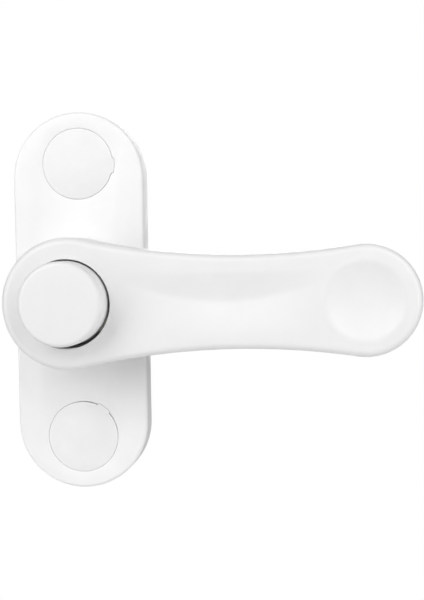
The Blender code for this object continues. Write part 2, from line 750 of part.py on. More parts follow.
def dimple():
    """The shallow dish for a thumb in the tip: a ball whose cap is as deep as the dish."""
    radius = (DIMPLE_RADIUS**2 + DIMPLE_DEPTH**2) / (2 * DIMPLE_DEPTH)
    reach = math.acos(1 - (DIMPLE_DEPTH + OVERCUT) / radius)
    rings = 12
    centre = ARM_TOP - DIMPLE_DEPTH + radius
    bowl = [
        (radius * math.sin(reach * i / rings), centre - radius * math.cos(reach * i / rings))
        for i in range(rings + 1)
    ]
    return at_each(turned(bowl + [(0, bowl[-1][1])], 32), [(TIP_REACH, 0, 0)])


def make_lock_plate(parent):
    outline = flatted_disc(LOCK_PLATE_RADIUS, LOCK_PLATE_FLATS)
    piece = add_piece(
        "lock_plate", prism(outline, LOCK_PLATE_BOTTOM, LOCK_PLATE_TOP), ZINC, parent
    )
    low, high = LOCK_PLATE_BOTTOM - OVERCUT, LOCK_PLATE_TOP + OVERCUT
    cut(piece, disc(WEB_BORE_RADIUS, low, high, 32))
    hole = disc(LOCK_HOLE_RADIUS, low, high, TINY)
    cut(piece, at_each(hole, lock_places(LOCK_PITCH_RADIUS)))
    return piece


def make_pivot_bush(parent):
    flange = BUSH_TOP - BUSH_FLANGE_THICKNESS
    profile = [
        (BUSH_BORE_RADIUS, LOCK_PLATE_BOTTOM),
        (BUSH_RADIUS, LOCK_PLATE_BOTTOM),
        (BUSH_RADIUS, flange),
        (BUSH_FLANGE_RADIUS, flange),
        (BUSH_FLANGE_RADIUS, BUSH_TOP),
        (BUSH_BORE_RADIUS, BUSH_TOP),
    ]
    return add_piece("pivot_bush", turned(profile, 32), BRASS, parent)


def make_button_spring(parent):
    """A compression coil whose first and last turns lie nearly flat."""
    low = WEB_TOP + GAP + COIL_WIRE / 2
    high = BUTTON_CEILING - GAP - COIL_WIRE / 2
    per_turn = 14
    count = COIL_TURNS * per_turn
    closed = 1.1 * COIL_WIRE  # rise of an end turn
    rise = (high - low - 2 * closed) / (COIL_TURNS - 2)
    points = []
    for i in range(count + 1):
        turn = i / per_turn
        middle = min(max(turn - 1, 0), COIL_TURNS - 2)
        ends = turn - middle
        height = low + closed * ends + rise * middle
        angle = math.tau * turn
        points.append((COIL_RADIUS * math.cos(angle), COIL_RADIUS * math.sin(angle), height))
    curve = bpy.data.curves.new("button_spring", "CURVE")
    curve.dimensions = "3D"
    curve.bevel_depth = COIL_WIRE / 2
    curve.bevel_resolution = 1
    curve.use_fill_caps = True
    spline = curve.splines.new("POLY")
    spline.points.add(len(points) - 1)
    for place, point in zip(spline.points, points):
        place.co = (*point, 1)
    curve.materials.append(material(SPRING))
    return add_object("button_spring", curve, parent)


def make_pressure_pad(parent):
    top = BEAM_BOTTOM + PAD_RECESS - GAP
    low = top - PAD_THICKNESS
    profile = [
        (0, low),
        (PAD_RADIUS - 3 * PAD_CROWN, low),
        (PAD_RADIUS - PAD_CROWN, low + PAD_CROWN),
        (PAD_RADIUS, low + 2 * PAD_CROWN),
        (PAD_RADIUS, top),
        (0, top),
    ]
    return add_piece("pressure_pad", turned(profile, 32), PAD, parent, (TIP_REACH, 0, 0))


# Pieces that slide with the button


def make_button_cap(parent):
    low = PLUNGER_SHOULDER + GAP
    inner = BUTTON_RADIUS - BUTTON_WALL
    edge = [
        (BUTTON_RADIUS - BUTTON_EDGE + BUTTON_EDGE * math.cos(turn), BUTTON_TOP - BUTTON_EDGE
         + BUTTON_EDGE * math.sin(turn))
        for turn in (math.pi / 2 * i / EDGE_STEPS for i in range(EDGE_STEPS + 1))
    ]
    profile = [(0, BUTTON_CEILING), (inner, BUTTON_CEILING), (inner, low), (BUTTON_RADIUS, low)]
    return add_piece("button_cap", turned(profile + edge + [(0, BUTTON_TOP)], FINE), WHITE, parent)


def make_release_plunger(parent):
    """A flanged sleeve under the cap, with four legs over the dogs and three snap lugs."""
    spigot_top = PLUNGER_SHOULDER + SPIGOT_HEIGHT
    profile = [
        (PLUNGER_BORE_RADIUS, PLUNGER_BOTTOM),
        (FLANGE_RADIUS, PLUNGER_BOTTOM),
        (FLANGE_RADIUS, PLUNGER_SHOULDER),
        (SPIGOT_RADIUS, PLUNGER_SHOULDER),
        (SPIGOT_RADIUS, spigot_top),
        (PLUNGER_BORE_RADIUS, spigot_top),
    ]
    piece = add_piece("release_plunger", turned(profile, 48), ACETAL, parent)
    leg = disc(LEG_RADIUS, LEG_END, PLUNGER_BOTTOM + BOND, TINY)
    join(piece, at_each(leg, lock_places(LOCK_PITCH_RADIUS)))
    lug = box_outline(LOCK_PITCH_RADIUS, LUG_RADIUS, -LUG_WIDTH / 2, LUG_WIDTH / 2)
    shape = prism(lug, PLUNGER_BOTTOM + LUG_INSET, PLUNGER_SHOULDER - LUG_INSET)
    join(piece, at_each(shape, lug_turns()))
    return piece


def main():
    clear_scene()
    wall_frame = add_empty("wall_frame")
    wall_frame.rotation_euler = (math.pi / 2, 0, 0)
    arm_pivot = add_empty("arm_pivot", wall_frame)
    button_slide = add_empty("button_slide", arm_pivot)

    make_base_plate(wall_frame)
    make_backing_plate(wall_frame)
    make_pivot_stud(wall_frame)
    for name, side, angle in (("upper", 1, UPPER_TAB_ANGLE), ("lower", -1, LOWER_TAB_ANGLE)):
        make_fixing_screw(f"{name}_fixing_screw", side, wall_frame)
        make_screw_cap(f"{name}_screw_cap", side, angle, wall_frame)
    make_lock_spring(wall_frame)
    make_washers_and_nut(wall_frame)

    make_arm(arm_pivot)
    make_lock_plate(arm_pivot)
    make_pivot_bush(arm_pivot)
    make_button_spring(arm_pivot)
    make_pressure_pad(arm_pivot)

    make_button_cap(button_slide)
    make_release_plunger(button_slide)


main()
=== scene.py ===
"""Looks of the swing arm latch: fine meshes, procedural materials, soft studio light.

Pieces are drawn in plate coordinates, as the part is: x across the plate, y up the
plate and z out of the wall. to_world turns them into the frame's own coordinates.
"""

import json
import math

import bmesh
import bpy
from mathutils import Matrix, Vector
from mathutils.geometry import delaunay_2d_cdt


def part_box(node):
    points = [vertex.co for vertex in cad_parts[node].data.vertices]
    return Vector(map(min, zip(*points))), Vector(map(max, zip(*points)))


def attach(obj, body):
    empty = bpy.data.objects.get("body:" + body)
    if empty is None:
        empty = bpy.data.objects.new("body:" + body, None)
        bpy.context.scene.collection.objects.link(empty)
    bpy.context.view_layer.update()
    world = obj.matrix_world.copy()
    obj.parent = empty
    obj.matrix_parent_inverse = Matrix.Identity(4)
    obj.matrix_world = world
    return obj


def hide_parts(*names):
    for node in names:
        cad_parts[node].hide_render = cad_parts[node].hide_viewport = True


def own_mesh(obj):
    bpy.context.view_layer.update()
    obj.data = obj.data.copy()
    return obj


MM = 0.001


# Sizes read from the frame


def reach(node):
    """How far off the wall a node starts and ends."""
    low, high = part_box(node)
    return -high.y, -low.y


def middle(node):
    low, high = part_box(node)
    return (low + high) / 2


def half_across(node):
    low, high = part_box(node)
    return (high.x - low.x) / 2


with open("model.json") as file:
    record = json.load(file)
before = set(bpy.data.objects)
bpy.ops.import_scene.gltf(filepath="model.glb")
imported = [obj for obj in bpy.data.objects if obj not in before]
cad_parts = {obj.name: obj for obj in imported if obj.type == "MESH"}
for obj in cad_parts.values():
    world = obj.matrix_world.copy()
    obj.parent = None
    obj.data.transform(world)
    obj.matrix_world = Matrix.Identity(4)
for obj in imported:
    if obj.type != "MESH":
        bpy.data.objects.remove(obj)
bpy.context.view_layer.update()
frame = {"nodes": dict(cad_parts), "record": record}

BASE_LOW, BASE_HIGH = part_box("base_plate")
BASE_WIDTH = BASE_HIGH.x - BASE_LOW.x
BASE_LENGTH = BASE_HIGH.z - BASE_LOW.z
TURRET_TOP = reach("base_plate")[1]
FACE = reach("upper_screw_cap")[1]  # the plate's front face
CAP_BOTTOM = reach("upper_screw_cap")[0]
CAP_PLACE = middle("upper_fixing_screw").z
SCREW_POINT, SCREW_HEAD_TOP = reach("upper_fixing_screw")
SCREW_HEAD_RADIUS = half_across("upper_fixing_screw")
SKIRT_BOTTOM, ARM_TOP = reach("arm")
ARM_LOW, ARM_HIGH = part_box("arm")
HEAD_RADIUS = -ARM_LOW.x
TIP_REACH = middle("pressure_pad").x
TIP_RADIUS = ARM_HIGH.x - TIP_REACH
PAD_RADIUS = half_across("pressure_pad")
PAD_BOTTOM, PAD_TOP = reach("pressure_pad")
BUTTON_RADIUS = half_across("button_cap")
BUTTON_FOOT, BUTTON_TOP = reach("button_cap")
BACKING_TOP = reach("backing_plate")[1]
BACKING_HALF_WIDTH = half_across("backing_plate")
BACKING_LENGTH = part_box("backing_plate")[1].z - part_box("backing_plate")[0].z
LOCK_PLATE_BOTTOM, LOCK_PLATE_TOP = reach("lock_plate")
LOCK_PLATE_FLATS = half_across("lock_plate")
LOCK_PLATE_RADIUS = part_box("lock_plate")[1].z
STUD_HEAD_FLATS = half_across("pivot_stud")
STUD_HEAD_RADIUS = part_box("pivot_stud")[1].z
COIL_FOOT, COIL_TOP = reach("button_spring")
COIL_OUTER = half_across("button_spring")

# Sizes of the looks, which the frame doesn't state
GAP = 0.3 * MM
HAIR = 0.01 * MM  # between pieces that touch
PAST = 2 * MM  # how far a cutter runs past the face that it opens
MERGE = 0.0005 * MM

# Plate and caps
BASE_EDGE = 0.6 * MM
BASE_FOOT_EDGE = 0.2 * MM
CAP_RADIUS = 6.7 * MM
CAP_SEAM = 0.02 * MM
CAP_ARRIS = 0.2 * MM
CAP_TAB_WIDTH = 2.8 * MM
CAP_TAB_REACH = 0.38 * MM
CAP_TAB_TAPER = 0.93
CAP_PLAY = {"upper": 0.05 * MM, "lower": 0.15 * MM}
CAP_PLAY_ARC = math.radians(32.0)
CAP_TABS = {"upper": math.radians(-4.0), "lower": math.radians(53.0)}
CAP_HOLLOW_RADIUS = 5.9 * MM
CAP_HOLLOW_TOP = 3.9 * MM
TURRET_RADIUS = 9.6 * MM
TURRET_EDGE = 0.3 * MM
POCKET_RADIUS = 8.4 * MM
POCKET_FLOOR = 4.4 * MM
BOSS_RADIUS = 4.4 * MM
BOSS_TOP = 6.3 * MM
STUD_HOLE_RADIUS = 2.8 * MM
STUD_SEAT = POCKET_FLOOR - 0.8 * MM
BACKING_EDGE = 0.1 * MM
BACKING_FOOT_EDGE = 0.15 * MM

# Arm
WAIST_HALF_WIDTH = 8.4 * MM
BEAM_BOTTOM = ARM_TOP - 8.0 * MM
ARM_EDGE = 1.35 * MM
ARM_FOOT_EDGE = 0.5 * MM
ARM_FADE_START = 0.3 * MM
ARM_FADE_END = 2.0 * MM
ARM_WALL = 1.8 * MM
ARM_ROOF = 2.8 * MM
RIB_THICKNESS = 1.4 * MM
CORE_COUNT = 4
CORE_CORNER = 1.0 * MM
CORE_EDGE = 0.4 * MM
DIMPLE_RADIUS = 6.95 * MM
DIMPLE_DEPTH = 1.38 * MM
DIMPLE_FULLNESS = 2.4
DIMPLE_BLEND = 0.05 * MM
DIMPLE_RIM = 0.05 * MM
DIMPLE_RIM_RADIUS = 1.05 * DIMPLE_RADIUS
DIMPLE_RIM_WIDTH = 0.4 * MM
DISH_MIDDLE = 28.5 * MM
DISH_HALF_LENGTH = 19.5 * MM
DISH_TOP = 5.6 * MM
DISH_LOWEST = 0.2 * MM
DISH_FOOT = -6.8 * MM
DISH_DEPTH = 1.35 * MM
DISH_BOW = 0.8
DISH_EASE = 0.4
DISH_BRIM = 0.2
DISH_FADE = 1.5
WELL_RADIUS = 8.1 * MM
WELL_LIP = 0.12 * MM
WEB_TOP = COIL_FOOT - GAP
WEB_BORE_RADIUS = 3.8 * MM
SKIRT_BORE_RADIUS = 10.1 * MM
LOCK_HOLE_RADIUS = 1.2 * MM
LOCK_PITCH_RADIUS = 6.4 * MM
LOCK_ANGLE = math.radians(45.0)
LOCK_COUNT = 4
SLOT_COUNT = 3
SLOT_FOOT = WEB_TOP + 0.1 * MM
SLOT_TOP = 15.5 * MM
SLOT_START = WELL_RADIUS - 0.5 * MM
SLOT_RADIUS = 9.0 * MM
SLOT_WIDTH = 3.6 * MM
PAD_RECESS = 1.3 * MM
PAD_EDGE = 1.0 * MM
PAD_FLAT_MARGIN = 1.4 * MM

# Button
BUTTON_EDGE = 0.9 * MM
BUTTON_FOOT_EDGE = 0.15 * MM
BUTTON_PLAY = 0.18 * MM
BUTTON_CROWN = 0.12 * MM
BUTTON_WALL = 1.25 * MM
BUTTON_ROOF = 1.6 * MM

# Screws
SCREW_RADIUS = 2.0 * MM
SCREW_RIM = 0.2 * MM
SCREW_SEAT_DROP = 0.1 * MM
SCREW_SHANK = 1.2 * MM
SCREW_TAPER = 4.5 * MM
SCREW_BLUNTNESS = 0.05 * MM
THREAD_ROOT = 1.45 * MM
THREAD_PITCH = 1.4 * MM
THREAD_FLANK = 0.28
THREAD_START_SWELL = 0.2 * MM
TAPER_POWER = 0.8
CREST_LEAD = 1.25
RECESS_HALF_LENGTH = 2.3 * MM
RECESS_HALF_WIDTH = 0.45 * MM
RECESS_DEPTH = 1.6 * MM
RECESS_FOOT = (0.4, 0.7)  # its length and width at the foot, against those at the top
SCREW_NECK_RADIUS = 0.95 * SCREW_RADIUS

# Springs
COIL_WIRE = 0.5 * MM
COIL_TURNS = 6
SPRING_SHEET = 0.4 * MM
SPRING_SLIT = 0.2 * MM
SPRING_BORE = 4.95 * MM
FINGER_HALF_WIDTH = 0.6 * MM
FINGER_ARC = math.radians(62.0)
FINGER_ROOT = math.radians(15.0)
FINGER_LAP = 0.02  # radians by which a finger runs back into its root

# Studio: each softbox's lean and clock angle in degrees, distance, width and power
LIGHT_FOCUS = Vector((24 * MM, -15 * MM, 0))
SURROUND = 0.03
SOFTBOXES = (
    ("upper_left", 50, 315, 0.48, 0.32, 0.965),
    ("upper_right", 52, 48, 0.48, 0.32, 0.735),
    ("left", 58, 270, 0.70, 0.45, 1.37),
    ("right", 64, 92, 0.30, 0.26, 0.38),
    ("front", 25, 325, 0.70, 0.45, 0.29),
    ("top", 55, 355, 0.34, 0.30, 0.20),
    ("low", 45, 170, 0.36, 0.30, 0.035),
    ("back", 165, 0, 0.70, 0.50, 2.60),
)
FLOOR_GLOW = 0.25
FLOOR_RADIUS = 600 * MM
FLOOR_MIDDLE = (0, -100 * MM)
FLOOR_LEVEL = -300 * MM

# Facets
ROUND = 128
SMALL_ROUND = 64
HEAD_STEPS = 110
EYE_STEPS = 60
SIDE_STEPS = 70
TIP_STEPS = 90
FOOT_STEPS = 4
EDGE_STEPS = 10
TOP_GRID = 0.5 * MM


# Shapes


def arc(centre, radius, start, end, steps):
    """Points along an arc, without its last one, so that arcs join end to end."""
    return [
        (
            centre[0] + radius * math.cos(start + (end - start) * i / steps),
            centre[1] + radius * math.sin(start + (end - start) * i / steps),
        )
        for i in range(steps)
    ]


def circle(radius, steps=ROUND, centre=(0, 0)):
    return arc(centre, radius, 0, math.tau, steps)


def stadium(width, length, steps=ROUND):
    half = length / 2 - width / 2
    return arc((0, half), width / 2, 0, math.pi, steps // 2) + arc(
        (0, -half), width / 2, math.pi, math.tau, steps // 2
    )


def flatted_disc(radius, flat, steps=ROUND):
    corner = math.acos(flat / radius)
    right = arc((0, 0), radius, corner, math.pi - corner, steps // 2)
    left = arc((0, 0), radius, math.pi + corner, math.tau - corner, steps // 2)
    side = radius * math.sin(corner)
    return right + [(-flat, side)] + left + [(flat, -side)]


def inset(outline, distance):
    """An anticlockwise outline moved inwards. The distance is one value or one per point."""
    moved = []
    for i, (x, y) in enumerate(outline):
        along = (
            Vector(outline[(i + 1) % len(outline)]) - Vector(outline[i - 1])
        ).normalized()
        move = distance[i] if isinstance(distance, list) else distance
        moved.append((x - along.y * move, y + along.x * move))
    return moved


def add_ring(shape, outline, height):
    return [shape.verts.new((x, y, height)) for x, y in outline]


def add_walls(shape, lower, upper):
    for i in range(len(lower)):
        j = (i + 1) % len(lower)
        shape.faces.new((lower[i], lower[j], upper[j], upper[i]))


def add_rounding(shape, ring, outline, high, radius, steps):
    """Carry a ring over a rounded top edge, and return the last ring."""
    for i in range(steps + 1):
        turn = math.pi / 2 * i / steps
        level = high - radius * (1 - math.sin(turn))
        following = add_ring(shape, inset(outline, radius * (1 - math.cos(turn))), level)
        add_walls(shape, ring, following)
        ring = following
    return ring


def prism(outline, low, high, edge=0.0, steps=6, foot_edge=0.0):
    """A solid with a rounded top edge and, if wanted, a small chamfer at its foot."""
    shape = bmesh.new()
    foot = add_ring(shape, inset(outline, foot_edge) if foot_edge else outline, low)
    shape.faces.new(list(reversed(foot)))
    ring = foot
    if foot_edge:
        ring = add_ring(shape, outline, low + foot_edge)
        add_walls(shape, foot, ring)
    if edge:
        ring = add_rounding(shape, ring, outline, high, edge, steps)
    else:
        top = add_ring(shape, outline, high)
        add_walls(shape, ring, top)
        ring = top
    shape.faces.new(ring)
    return shape


def turned(profile, steps=ROUND, closed=True):
    """Profile points (radius, height), in order round a loop, turned about z."""
    shape = bmesh.new()
    points = [shape.verts.new((radius, 0, height)) for radius, height in profile]
    pairs = list(zip(points, points[1:])) + ([(points[-1], points[0])] if closed else [])
    loop = [shape.edges.new(pair) for pair in pairs]
    bmesh.ops.spin(
        shape,
        geom=points + loop,
        cent=(0, 0, 0),
        axis=(0, 0, 1),
        angle=math.tau,
        steps=steps,
        use_merge=True,
    )
    bmesh.ops.remove_doubles(shape, verts=shape.verts, dist=MERGE)
    on_axis = [edge for edge in shape.edges if not edge.link_faces]
    bmesh.ops.delete(shape, geom=on_axis, context="EDGES")
    return shape


def corner_arc(centre, radius, start, end, steps=6):
    """Points (radius, height) of a rounded corner in a profile, with its last point."""
    return [
        (
            centre[0] + radius * math.cos(start + (end - start) * i / steps),
            centre[1] + radius * math.sin(start + (end - start) * i / steps),
        )
        for i in range(steps + 1)
    ]


def smooth(value, low, high):
    share = min(max((value - low) / (high - low), 0.0), 1.0)
    return share * share * (3 - 2 * share)


def copies(shape, places):
    """Copies of shape, one at each (x, y, angle), in place of the shape."""
    template = bpy.data.meshes.new("template")
    bmesh.ops.recalc_face_normals(shape, faces=shape.faces)
    shape.to_mesh(template)
    shape.free()
    group = bmesh.new()
    for x, y, angle in places:
        before = len(group.verts)
        group.from_mesh(template)
        group.verts.ensure_lookup_table()
        move = Matrix.Translation((x, y, 0)) @ Matrix.Rotation(angle, 4, "Z")
        bmesh.ops.transform(group, matrix=move, verts=group.verts[before:])
    bpy.data.meshes.remove(template)
    return group


# Objects


def to_world(x=0.0, y=0.0):
    return Matrix.Rotation(math.pi / 2, 4, "X") @ Matrix.Translation((x, y, 0))


def add_piece(name, shape, finish, body, slot, *nodes, at=(0.0, 0.0), cuts=(), sharp=32.0):
    """A finished piece: cuts made, turned into the frame, smooth, riding on its body."""
    bmesh.ops.recalc_face_normals(shape, faces=shape.faces)
    mesh = bpy.data.meshes.new(name)
    shape.to_mesh(mesh)
    shape.free()
    piece = bpy.data.objects.new(name, mesh)
    bpy.context.scene.collection.objects.link(piece)
    for cutter in cuts:
        cut(piece, cutter)
    piece.data.transform(to_world(*at))
    piece.data.materials.clear()
    piece.data.materials.append(finish)
    piece.data.shade_smooth()
    piece.data.set_sharp_from_angle(angle=math.radians(sharp))
    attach(piece, body)
    if nodes:
        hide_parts(*nodes)
    return piece


def cut(piece, shape):
    bmesh.ops.recalc_face_normals(shape, faces=shape.faces)
    mesh = bpy.data.meshes.new("cutter")
    shape.to_mesh(mesh)
    shape.free()
    cutter = bpy.data.objects.new("cutter", mesh)
    bpy.context.scene.collection.objects.link(cutter)
    boolean = piece.modifiers.new("cut", "BOOLEAN")
    boolean.operation = "DIFFERENCE"
    boolean.solver = "EXACT"
    boolean.object = cutter
    bpy.context.view_layer.update()
    graph = bpy.context.evaluated_depsgraph_get()
    result = bpy.data.meshes.new_from_object(piece.evaluated_get(graph))
    piece.modifiers.remove(boolean)
    piece.data = result
    bpy.data.objects.remove(cutter)


# Arm


def side_curve():
    """Centre (x, y) and radius of the hollow curve that joins head, waist and tip."""
    head, tip, waist = HEAD_RADIUS, TIP_RADIUS, WAIST_HALF_WIDTH
    share = (tip - waist) / (head - waist)
    a = 1 - share
    b = -2 * TIP_REACH
    c = TIP_REACH**2 + share * (head**2 - waist**2) - (tip**2 - waist**2)
    x = (-b - math.sqrt(b * b - 4 * a * c)) / (2 * a)
    radius = (x * x - head**2 + waist**2) / (2 * (head - waist))
    return x, waist + radius, radius


def half_width(x):
    centre_x, centre_y, radius = side_curve()
    return centre_y - math.sqrt(radius**2 - (x - centre_x) ** 2)


def arm_outlines():
    """The head's outer arc, the head's inner arc under the beam, and the beam's outline."""
    centre_x, centre_y, radius = side_curve()
    leave = math.atan2(centre_y, centre_x)
    meet = math.atan2(centre_y, centre_x - TIP_REACH)
    near = arc((0, 0), HEAD_RADIUS, leave, math.tau - leave, HEAD_STEPS)
    eye = arc((0, 0), HEAD_RADIUS, -leave, leave, EYE_STEPS)
    start = math.atan2(-centre_y, -centre_x)
    end = math.atan2(-centre_y, TIP_REACH - centre_x)
    lower = [(x, -y) for x, y in arc((centre_x, centre_y), radius, start, end, SIDE_STEPS)]
    tip = arc((TIP_REACH, 0), TIP_RADIUS, -meet, meet, TIP_STEPS)
    upper = arc((centre_x, centre_y), radius, end, start, SIDE_STEPS)
    return near, eye, (lower + tip + upper)[1:]


def dish_height(x, y):
    """The beam's scoop: it falls to a curved line below its top and rises slowly again."""
    along = ((x - DISH_MIDDLE) / DISH_HALF_LENGTH) ** 2
    if along >= 1 or not DISH_FOOT < y < DISH_TOP:
        return 0.0
    valley = DISH_LOWEST + (DISH_TOP - DISH_LOWEST) * DISH_BOW * along
    if y > valley:
        share = (DISH_TOP - y) / (DISH_TOP - valley)
        fall = share * share * (3 - 2 * share) * DISH_EASE + share * (1 - DISH_EASE)
        fall *= smooth(share, 0.0, DISH_BRIM)
    else:
        share = (y - DISH_FOOT) / (valley - DISH_FOOT)
        fall = share * share * (2 - share)
    return -DISH_DEPTH * (1 - along) ** DISH_FADE * fall


def arm_height(x, y):
    """How far the arm's face lies below its flat top: the beam's scoop and the dimple."""
    dish = dish_height(x, y)
    away = math.hypot(x - TIP_REACH, y)
    if away > 2 * DIMPLE_RADIUS:
        return dish
    bowl = DIMPLE_DEPTH * ((away / DIMPLE_RADIUS) ** DIMPLE_FULLNESS - 1)
    soft = math.sqrt(bowl**2 + DIMPLE_BLEND**2)
    rim = DIMPLE_RIM * math.exp(-(((away - DIMPLE_RIM_RADIUS) / DIMPLE_RIM_WIDTH) ** 2))
    return dish + (bowl - soft) / 2 + rim


def face_points(hole_radius):
    """A staggered grid of points on the arm's flat top, outside the hole."""
    margin = 0.6 * TOP_GRID
    row = TOP_GRID * math.sqrt(3) / 2
    points = []
    y = -HEAD_RADIUS
    odd = False
    while y < HEAD_RADIUS:
        x = -HEAD_RADIUS + (TOP_GRID / 2 if odd else 0)
        while x < TIP_REACH + TIP_RADIUS:
            if inside_arm(x, y, ARM_EDGE + margin) and math.hypot(x, y) > hole_radius + margin:
                points.append((x, y))
            x += TOP_GRID
        y += row
        odd = not odd
    return points


def inside_arm(x, y, margin):
    """Whether a point is within the arm's outline by at least the margin."""
    centre_x, centre_y, _ = side_curve()
    leave_x = HEAD_RADIUS * math.cos(math.atan2(centre_y, centre_x))
    meet_x = TIP_REACH + TIP_RADIUS * math.cos(math.atan2(centre_y, centre_x - TIP_REACH))
    if x <= leave_x:
        return math.hypot(x, y) < HEAD_RADIUS - margin
    if x >= meet_x:
        return math.hypot(x - TIP_REACH, y) < TIP_RADIUS - margin
    return abs(y) < half_width(x) - margin


def add_face(shape, outer, inner, height_at):
    """A finely meshed face between two rings of vertices, shaped by height_at."""
    border = [vert.co.xy for vert in outer + inner]
    count = len(outer)
    edges = [(i, (i + 1) % count) for i in range(count)]
    edges += [(count + i, count + (i + 1) % len(inner)) for i in range(len(inner))]
    hole_radius = inner[0].co.xy.length
    flat = border + [Vector(point) for point in face_points(hole_radius)]
    keep_inside = 1
    found = delaunay_2d_cdt(flat, edges, [], keep_inside, 1e-9)
    points, triangles, origins = found[0], found[2], found[3]
    ready = {}
    for i, source in enumerate(origins):
        first = source[0] if source else None
        if first is not None and first < len(border):
            ready[i] = outer[first] if first < count else inner[first - count]
    for triangle in triangles:
        centre = sum((points[i] for i in triangle), Vector((0, 0))) / 3
        if centre.length < hole_radius:
            continue
        for i in triangle:
            if i not in ready:
                x, y = points[i]
                ready[i] = shape.verts.new((x, y, ARM_TOP + height_at(x, y)))
        shape.faces.new([ready[i] for i in triangle])


def add_skirt(shape, outline):
    """The head's wall below the beam, with a rounded foot: its lowest and highest rings."""
    foot = ring = None
    for i in range(FOOT_STEPS + 1):
        turn = math.pi / 2 * i / FOOT_STEPS
        moved = inset(outline, ARM_FOOT_EDGE * (1 - math.sin(turn)))
        following = add_ring(shape, moved, SKIRT_BOTTOM + ARM_FOOT_EDGE * (1 - math.cos(turn)))
        if ring:
            add_walls(shape, ring, following)
        foot = foot or following
        ring = following
    collar = add_ring(shape, outline, BEAM_BOTTOM)
    add_walls(shape, ring, collar)
    return foot, collar


def add_beam_foot(shape, outline, sides, inner):
    """The beam's underside and its rounded lower edge, up to the ring that is returned.

    The sides are the collar's vertices that the walls above share, and the inner ones are
    those under the beam. The rounding fades out where the beam meets the head.
    """
    fade = [
        ARM_FOOT_EDGE
        * smooth(math.hypot(x, y) - HEAD_RADIUS, ARM_FADE_START, ARM_FADE_END)
        for x, y in outline
    ]
    ring = None
    for i in range(FOOT_STEPS + 1):
        turn = math.pi / 2 * i / FOOT_STEPS
        moved = inset(outline, [edge * (1 - math.sin(turn)) for edge in fade])
        following = sides + [
            shape.verts.new((x, y, BEAM_BOTTOM + edge * (1 - math.cos(turn))))
            for (x, y), edge in list(zip(moved, fade))[len(sides) :]
        ]
        if ring:
            add_open_walls(shape, ring, following)
        else:
            shape.faces.new(following[len(sides) :] + sides[:1] + list(reversed(inner)))
        ring = following
    return ring


def add_open_walls(shape, lower, upper):
    """Walls between two rings that share some of their vertices."""
    for i in range(len(lower)):
        j = (i + 1) % len(lower)
        corners = list(dict.fromkeys((lower[i], lower[j], upper[j], upper[i])))
        if len(corners) > 2:
            shape.faces.new(corners)


def arm_shape():
    """The arm as one closed mesh: outside, dished face, well, web, bore and skirt."""
    near, eye, far = arm_outlines()
    outline = near + eye[:1] + far
    shape = bmesh.new()

    foot, collar = add_skirt(shape, near + eye)
    shared = len(near) + 1
    ring = add_beam_foot(shape, outline, collar[:shared], collar[len(near) :])
    band = add_ring(shape, outline, BEAM_BOTTOM + 2 * ARM_FOOT_EDGE)
    add_walls(shape, ring, band)
    ring = add_rounding(shape, band, outline, ARM_TOP, ARM_EDGE, EDGE_STEPS)

    lip_centre = (WELL_RADIUS + WELL_LIP, ARM_TOP - WELL_LIP)
    inner = [
        *corner_arc(lip_centre, WELL_LIP, math.pi / 2, math.pi, 4),
        (WELL_RADIUS, WEB_TOP),
        (WEB_BORE_RADIUS, WEB_TOP),
        (WEB_BORE_RADIUS, LOCK_PLATE_BOTTOM - GAP),
        (SKIRT_BORE_RADIUS, LOCK_PLATE_BOTTOM - GAP),
        (SKIRT_BORE_RADIUS, SKIRT_BOTTOM),
    ]
    round_head = [Vector(point) / HEAD_RADIUS for point in near + eye]
    rings = [add_ring(shape, [p * radius for p in round_head], height) for radius, height in inner]
    for upper, lower in zip(rings, rings[1:] + [foot]):
        add_walls(shape, lower, upper)
    add_face(shape, ring, rings[0], arm_height)
    bmesh.ops.remove_doubles(shape, verts=shape.verts, dist=MERGE)
    return shape


def rounded_box(left, right, near, far, corner, steps=5):
    """Outline with rounded corners; near and far give the low and high side at an x."""
    outline = []
    for x, side, start in (
        (right, near, -math.pi / 2),
        (right, far, 0),
        (left, far, math.pi / 2),
        (left, near, math.pi),
    ):
        inward = -1 if x == right else 1
        y = side(x) + (corner if side is near else -corner)
        outline += arc((x + inward * corner, y), corner, start, start + math.pi / 2, steps)
    return outline


def beam_cores():
    start = HEAD_RADIUS + ARM_WALL
    end = TIP_REACH - PAD_RADIUS - 2 * ARM_WALL
    length = (end - start - RIB_THICKNESS * (CORE_COUNT - 1)) / CORE_COUNT
    cores = []
    for k in range(CORE_COUNT):
        left = start + k * (length + RIB_THICKNESS)
        outline = rounded_box(
            left,
            left + length,
            lambda x: -(half_width(x) - ARM_WALL),
            lambda x: half_width(x) - ARM_WALL,
            CORE_CORNER,
        )
        cores.append(prism(outline, BEAM_BOTTOM - PAST, ARM_TOP - ARM_ROOF, CORE_EDGE, 4))
    return cores


